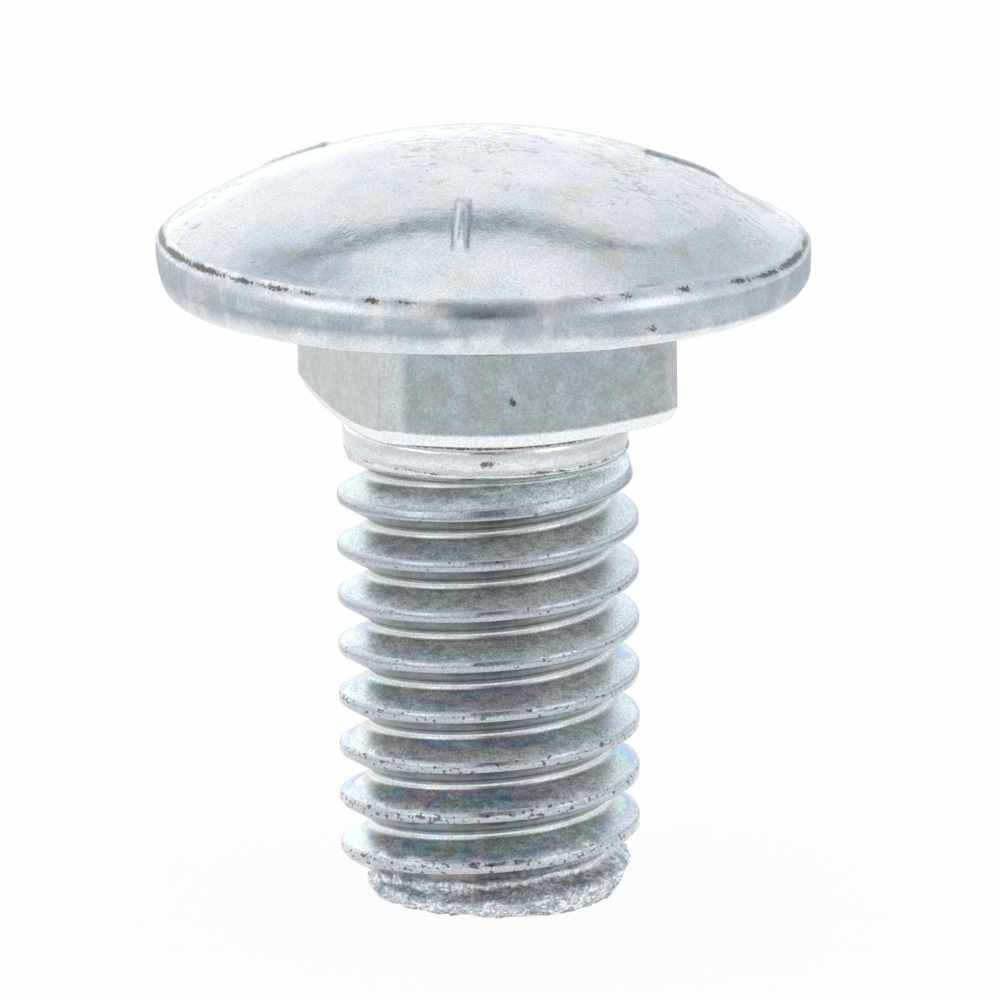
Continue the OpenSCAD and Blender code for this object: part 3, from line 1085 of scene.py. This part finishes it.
# Brightness in front of the bolt, from the middle out to the side: a dark room between two soft lights
STUDIO_FRONT = (
    (0.0, 0.24), (0.14, 0.26), (0.24, 0.50), (0.40, 0.66), (0.58, 0.84), (0.68, 1.4), (0.90, 1.4),
    (0.96, 0.8), (1.0, 0.9),
)

# Patches of the studio
STUDIO_LOW_RIGHT = (1.06, 1.09, 1.13)
STUDIO_HIGH_RIGHT = (0.76, 0.79, 0.84)
STUDIO_GAP = (0.20, 0.26, 0.32)
STUDIO_SIDES = (1.0, 1.02, 1.05)
STUDIO_FRONT_LEFT = (0.98, 1.0, 1.04)


def make_floor():
    """A pale floor that looks white to the camera, keeps a faint shadow and is mirrored in soft greys."""
    mesh = bpy.data.meshes.new("floor")
    signs = ((-1, -1), (1, -1), (1, 1), (-1, 1))
    corners = [(x * FLOOR_REACH_M, y * FLOOR_REACH_M, node_lo.z) for x, y in signs]
    mesh.from_pydata(corners, [], [(0, 1, 2, 3)])
    floor = bpy.data.objects.new("floor", mesh)
    bpy.context.scene.collection.objects.link(floor)
    material = bpy.data.materials.new("floor")
    n = Nodes(material)
    place = n.add("ShaderNodeTexCoord").outputs["Object"]
    x, y = n.split(place)[:2]
    spread = n.add("ShaderNodeVectorMath", operation="LENGTH")
    n.put(spread.inputs[0], place)
    behind = n.mix(n.step(x, -0.01, 0.05), MIRRORED_LEFT, MIRRORED_RIGHT)
    far = n.mix(n.step(y, -0.04, 0.05), MIRRORED_FRONT, behind)
    sheet = n.add("ShaderNodeEmission")
    n.put(sheet.inputs["Color"], n.mix(n.step(spread.outputs["Value"], 0.03, 0.05), MIRRORED_NEAR, far))
    diffuse = n.add("ShaderNodeBsdfDiffuse")
    n.put(diffuse.inputs["Color"], FLOOR_GREY)
    white = n.add("ShaderNodeEmission")
    n.put(white.inputs["Strength"], 1.0)
    path = n.add("ShaderNodeLightPath").outputs
    plain = n.choose(n.mul(path["Is Camera Ray"], FLOOR_WHITE), diffuse, white)
    mirrored = n.most(path["Is Glossy Ray"], path["Is Transmission Ray"])
    n.finish("ShaderNodeOutputMaterial", n.choose(mirrored, plain, sheet))
    mesh.materials.append(material)


def make_world():
    """White to the camera. To the bolt, a pale studio with a dark gap overhead and a dark room in front."""
    world = bpy.data.worlds.new("studio")
    bpy.context.scene.world = world
    n = Nodes(world)
    x, y, z = n.split(n.add("ShaderNodeTexCoord").outputs["Generated"])
    arc = n.math("DIVIDE", n.math("ARCTAN2", z, y), math.pi, clamp=True)
    level = n.ramp(arc, [(a / 180.0, (v * 0.99, v, v * 1.02)) for a, v in STUDIO_ARC])
    low_right = n.mul(n.step(x, 0.0, 0.25), n.step(z, 0.5, 0.3))
    level = n.mix(low_right, level, STUDIO_LOW_RIGHT)
    high_right = n.mul(n.mul(n.step(x, 0.15, 0.42), n.step(x, 0.95, 0.7)), n.step(z, 0.2, 0.5))
    level = n.mix(high_right, level, STUDIO_HIGH_RIGHT)
    gap_depth = n.mul(n.step(arc, 0.283, 0.298), n.step(arc, 0.327, 0.312))
    gap_width = n.mul(n.step(x, -0.46, -0.30), n.step(x, 0.42, 0.27))
    level = n.mix(n.mul(gap_depth, gap_width), level, STUDIO_GAP)
    level = n.mix(n.most(n.step(x, 0.75, 0.95), n.step(x, -0.7, -0.9)), level, STUDIO_SIDES)
    front = n.ramp(n.math("ABSOLUTE", x), [(a, (v, v * 1.02, v * 1.06)) for a, v in STUDIO_FRONT])
    front_left = n.mul(n.step(x, -0.15, -0.38), n.step(x, -0.72, -0.6))
    front = n.mix(front_left, front, STUDIO_FRONT_LEFT)
    studio = n.add("ShaderNodeBackground")
    n.put(studio.inputs["Color"], n.mix(n.step(arc, 0.60, 0.66), level, front))
    white = n.add("ShaderNodeBackground")
    n.put(white.inputs["Color"], (1.0, 1.0, 1.0))
    path = n.add("ShaderNodeLightPath").outputs
    n.finish("ShaderNodeOutputWorld", n.choose(path["Is Camera Ray"], studio, white))


def make_camera():
    """A long lens in front of the bolt, a little above it and a little rolled."""
    elevation = math.radians(CAMERA_ELEVATION)
    roll = math.radians(CAMERA_ROLL)
    back = Vector((0.0, -math.cos(elevation), math.sin(elevation)))
    level = Vector((1.0, 0.0, 0.0))
    up = back.cross(level)
    right = math.cos(roll) * level + math.sin(roll) * up
    over = -math.sin(roll) * level + math.cos(roll) * up
    data = bpy.data.cameras.new("camera")
    data.lens = CAMERA_LENS
    data.sensor_width = CAMERA_SENSOR_W
    data.clip_start = CAMERA_NEAR_M
    data.clip_end = CAMERA_FAR_M
    camera = bpy.data.objects.new("camera", data)
    place = (CAMERA_AIM + back * CAMERA_DISTANCE) * MM
    turn = Matrix((right, over, back)).transposed()
    camera.matrix_world = Matrix.Translation(place) @ turn.to_4x4()
    bpy.context.scene.collection.objects.link(camera)
    bpy.context.scene.camera = camera


bolt = make_bolt()
bolt.data.materials.append(zinc_material())
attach(bolt, "root")
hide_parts("carriage_bolt")
make_floor()
make_world()
make_camera()
bpy.context.scene.view_settings.view_transform = "Standard"
